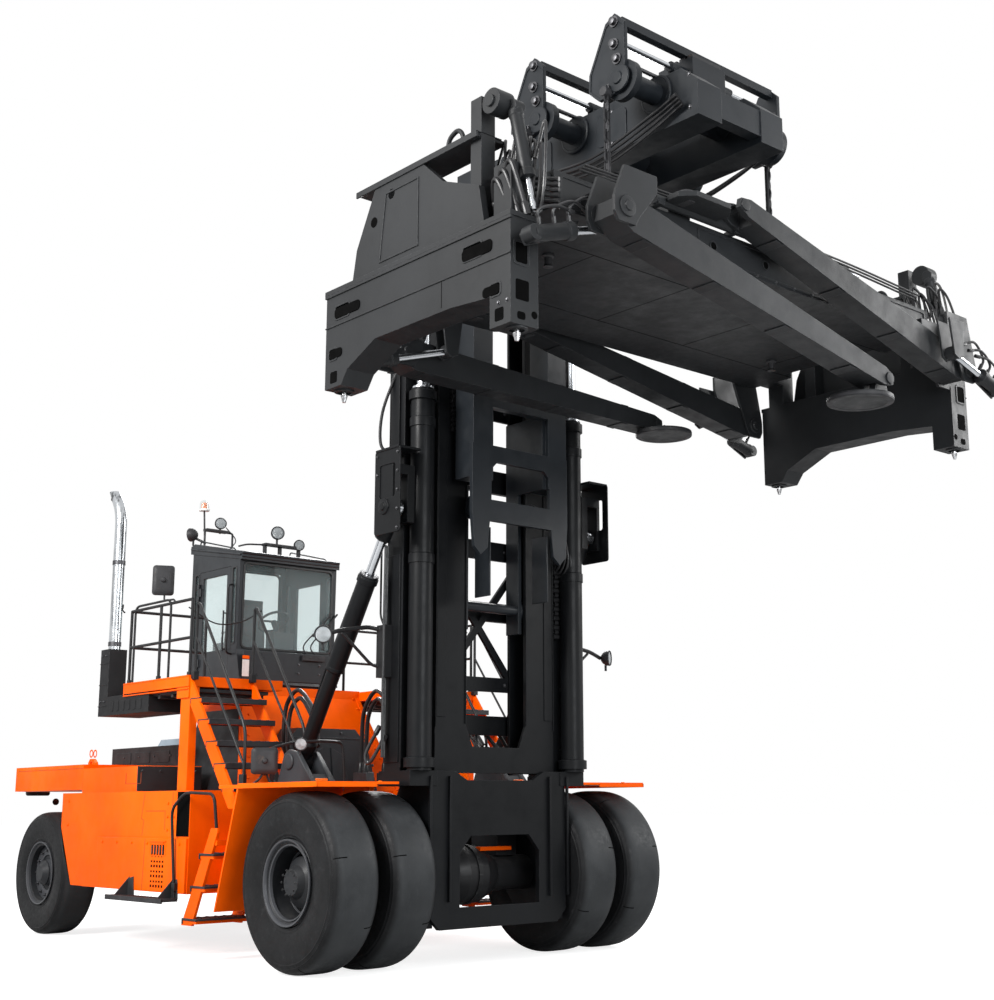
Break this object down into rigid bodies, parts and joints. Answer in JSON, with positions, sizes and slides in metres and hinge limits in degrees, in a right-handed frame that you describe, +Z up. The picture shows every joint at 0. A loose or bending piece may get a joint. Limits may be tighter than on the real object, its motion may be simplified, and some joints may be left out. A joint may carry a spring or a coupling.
{
  "type": "loaded container handler",
  "caption": "Heavy lift truck with a tilting two-stage mast, overhead carriage arms and a telescopic top spreader with folding legs, shown empty.",
  "frame": {"origin": "on the floor under the centre of the machine's box", "axes": "+X forward towards the mast and spreader, +Y to the driver's left, +Z up"},
  "size_m": [12.119, 6.154, 8.6199],
  "materials": {
    "body_paint": "orange machine enamel, semi-gloss",
    "chassis_paint": "black chassis paint",
    "engine_iron": "cast iron, oily",
    "hood_paint": "matt black paint",
    "lid_paint": "pale grey-blue paint",
    "cover_paint": "dark grey hammered cover",
    "rail_paint": "black rail paint",
    "exhaust_chrome": "polished exhaust pipe, slightly blued",
    "muffler_paint": "heat-proof black",
    "cab_paint": "black cab paint, satin",
    "cab_glass": "tinted safety glass",
    "seat_fabric": "woven seat fabric",
    "console_plastic": "grained black plastic",
    "axle_paint": "black axle paint",
    "tyre_rubber": "smooth industrial tyre rubber",
    "rim_paint": "dark grey rim paint",
    "mast_paint": "near-black mast paint with grease",
    "rod_chrome": "hard chrome rods",
    "carriage_paint": "dark grey-black paint",
    "chain_steel": "dull steel chain",
    "spreader_paint": "dark grey-black paint, worn edges",
    "lock_chrome": "bare bright twistlock steel"
  },
  "bodies": {
    "chassis": {"chassis_frame": "chassis_paint", "side_boxes": "body_paint", "counterweight": "body_paint", "engine": "engine_iron", "engine_hood": "hood_paint", "hood_lid": "lid_paint", "cab_pedestal": "body_paint", "front_cover": "cover_paint", "deck": "body_paint", "stairs": "body_paint", "side_ladders": "body_paint", "handrails": "rail_paint", "fenders": "body_paint", "exhaust_stack": "exhaust_chrome", "muffler": "muffler_paint", "cab_shell": "cab_paint", "cab_roof": "cab_paint", "cab_windows": "cab_glass", "seat": "seat_fabric", "steering_console": "console_plastic", "drive_axle": "axle_paint", "steer_axle": "axle_paint"},
    "drive_wheels_right": {"drive_tyres_right": "tyre_rubber", "drive_hub_right": "rim_paint"},
    "drive_wheels_left": {"drive_tyres_left": "tyre_rubber", "drive_hub_left": "rim_paint"},
    "knuckle_right": {"steer_knuckle_right": "axle_paint"},
    "knuckle_left": {"steer_knuckle_left": "axle_paint"},
    "steer_wheel_right": {"steer_tyre_right": "tyre_rubber", "steer_hub_right": "rim_paint"},
    "steer_wheel_left": {"steer_tyre_left": "tyre_rubber", "steer_hub_left": "rim_paint"},
    "cab_door": {"cab_door": "cab_paint", "door_glass": "cab_glass"},
    "mast": {"outer_mast": "mast_paint", "lift_barrels": "mast_paint"},
    "tilt_barrel_right": {"tilt_barrel_right": "mast_paint"},
    "tilt_barrel_left": {"tilt_barrel_left": "mast_paint"},
    "tilt_rod_right": {"tilt_rod_right": "rod_chrome"},
    "tilt_rod_left": {"tilt_rod_left": "rod_chrome"},
    "inner_mast": {"inner_mast": "mast_paint", "lift_rods": "rod_chrome"},
    "carriage": {"carriage": "carriage_paint"},
    "spreader": {"shift_frame": "carriage_paint", "hanger_chains": "chain_steel", "spreader_frame": "spreader_paint"},
    "end_right": {"end_frame_right": "spreader_paint", "twistlocks_right": "lock_chrome"},
    "end_left": {"end_frame_left": "spreader_paint", "twistlocks_left": "lock_chrome"},
    "leg_front_right": {"leg_front_right": "spreader_paint"},
    "foot_front_right": {"foot_front_right": "spreader_paint"},
    "leg_front_left": {"leg_front_left": "spreader_paint"},
    "foot_front_left": {"foot_front_left": "spreader_paint"},
    "leg_rear_right": {"leg_rear_right": "spreader_paint"},
    "foot_rear_right": {"foot_rear_right": "spreader_paint"},
    "leg_rear_left": {"leg_rear_left": "spreader_paint"},
    "foot_rear_left": {"foot_rear_left": "spreader_paint"}
  },
  "joints": [
    {"name": "drive_spin_right", "type": "hinge", "parent": "chassis", "child": "drive_wheels_right", "pos_m": [1.1405, -1.5325, 0.84], "axis": [0, 1, 0], "continuous": true},
    {"name": "drive_spin_left", "type": "hinge", "parent": "chassis", "child": "drive_wheels_left", "pos_m": [1.1405, 1.5325, 0.84], "axis": [0, 1, 0], "continuous": true},
    {"name": "steer_right", "type": "hinge", "parent": "chassis", "child": "knuckle_right", "pos_m": [-5.0945, -1.18, 0.745], "axis": [0, 0, 1], "range_deg": [-65, 65]},
    {"name": "steer_left", "type": "hinge", "parent": "chassis", "child": "knuckle_left", "pos_m": [-5.0945, 1.18, 0.745], "axis": [0, 0, 1], "range_deg": [-65, 65]},
    {"name": "steer_spin_right", "type": "hinge", "parent": "knuckle_right", "child": "steer_wheel_right", "pos_m": [-5.0945, -1.575, 0.745], "axis": [0, 1, 0], "continuous": true},
    {"name": "steer_spin_left", "type": "hinge", "parent": "knuckle_left", "child": "steer_wheel_left", "pos_m": [-5.0945, 1.575, 0.745], "axis": [0, 1, 0], "continuous": true},
    {"name": "door_hinge", "type": "hinge", "parent": "chassis", "child": "cab_door", "pos_m": [-3.3055, -0.715, 3.7], "axis": [0, 0, -1], "range_deg": [0, 95]},
    {"name": "mast_tilt", "type": "hinge", "parent": "chassis", "child": "mast", "pos_m": [1.1405, 0, 0.84], "axis": [0, 1, 0], "range_deg": [-6, 5]},
    {"name": "tilt_barrel_hinge_right", "type": "hinge", "parent": "chassis", "child": "tilt_barrel_right", "pos_m": [0.0905, -1.31, 1.99], "axis": [0, 1, 0], "range_deg": [-7.2, 6]},
    {"name": "tilt_rod_slide_right", "type": "slide", "parent": "tilt_barrel_right", "child": "tilt_rod_right", "axis": [0.5346, 0, 0.8451], "range_m": [-0.16, 0.135]},
    {"name": "tilt_barrel_hinge_left", "type": "hinge", "parent": "chassis", "child": "tilt_barrel_left", "pos_m": [0.0905, 1.31, 1.99], "axis": [0, 1, 0], "range_deg": [-7.2, 6]},
    {"name": "tilt_rod_slide_left", "type": "slide", "parent": "tilt_barrel_left", "child": "tilt_rod_left", "axis": [0.5346, 0, 0.8451], "range_m": [-0.16, 0.135]},
    {"name": "mast_lift", "type": "slide", "parent": "mast", "child": "inner_mast", "axis": [0, 0, 1], "range_m": [-1.28, 2]},
    {"name": "carriage_lift", "type": "slide", "parent": "inner_mast", "child": "carriage", "axis": [0, 0, 1], "range_m": [-1.28, 2]},
    {"name": "side_shift", "type": "slide", "parent": "carriage", "child": "spreader", "axis": [0, 1, 0], "range_m": [-0.3, 0.3]},
    {"name": "extend_right", "type": "slide", "parent": "spreader", "child": "end_right", "axis": [0, -1, 0], "range_m": [0, 3.06]},
    {"name": "extend_left", "type": "slide", "parent": "spreader", "child": "end_left", "axis": [0, 1, 0], "range_m": [0, 3.06]},
    {"name": "leg_swing_front_right", "type": "hinge", "parent": "spreader", "child": "leg_front_right", "pos_m": [5.9005, -2.42, 5.92], "axis": [-1, 0, 0], "range_deg": [0, 78.4]},
    {"name": "foot_level_front_right", "type": "hinge", "parent": "leg_front_right", "child": "foot_front_right", "pos_m": [5.9005, 0.91056, 5.23634], "axis": [-1, 0, 0], "range_deg": [-78.4, 0]},
    {"name": "leg_swing_rear_right", "type": "hinge", "parent": "spreader", "child": "leg_rear_right", "pos_m": [2.6005, -2, 5.66], "axis": [-1, 0, 0], "range_deg": [0, 88.3]},
    {"name": "foot_level_rear_right", "type": "hinge", "parent": "leg_rear_right", "child": "foot_rear_right", "pos_m": [2.6005, 1.3985, 5.55913], "axis": [-1, 0, 0], "range_deg": [-88.3, 0]},
    {"name": "leg_swing_front_left", "type": "hinge", "parent": "spreader", "child": "leg_front_left", "pos_m": [5.6205, 2.64, 5.72], "axis": [1, 0, 0], "range_deg": [0, 103.7]},
    {"name": "foot_level_front_left", "type": "hinge", "parent": "leg_front_left", "child": "foot_front_left", "pos_m": [5.6205, -0.66327, 6.52525], "axis": [1, 0, 0], "range_deg": [-103.7, 0]},
    {"name": "leg_swing_rear_left", "type": "hinge", "parent": "spreader", "child": "leg_rear_left", "pos_m": [2.8805, 2.64, 5.68], "axis": [1, 0, 0], "range_deg": [0, 98.5]},
    {"name": "foot_level_rear_left", "type": "hinge", "parent": "leg_rear_left", "child": "foot_rear_left", "pos_m": [2.8805, -0.72265, 6.18255], "axis": [1, 0, 0], "range_deg": [-98.5, 0]}
  ],
  "couplings": [
    {"joint": "steer_left", "follows": "steer_right", "ratio": 1},
    {"joint": "tilt_barrel_hinge_right", "follows": "mast_tilt", "ratio": 1.15},
    {"joint": "tilt_rod_slide_right", "follows": "mast_tilt", "m_per_rad": 1.495},
    {"joint": "tilt_barrel_hinge_left", "follows": "mast_tilt", "ratio": 1.15},
    {"joint": "tilt_rod_slide_left", "follows": "mast_tilt", "m_per_rad": 1.495},
    {"joint": "carriage_lift", "follows": "mast_lift", "ratio": 1},
    {"joint": "extend_left", "follows": "extend_right", "ratio": 1},
    {"joint": "foot_level_front_right", "follows": "leg_swing_front_right", "ratio": -1},
    {"joint": "leg_swing_rear_right", "follows": "leg_swing_front_right", "ratio": 1.1263},
    {"joint": "foot_level_rear_right", "follows": "leg_swing_front_right", "ratio": -1.1263},
    {"joint": "leg_swing_front_left", "follows": "leg_swing_front_right", "ratio": 1.3227},
    {"joint": "foot_level_front_left", "follows": "leg_swing_front_right", "ratio": -1.3227},
    {"joint": "leg_swing_rear_left", "follows": "leg_swing_front_right", "ratio": 1.2564},
    {"joint": "foot_level_rear_left", "follows": "leg_swing_front_right", "ratio": -1.2564}
  ]
}
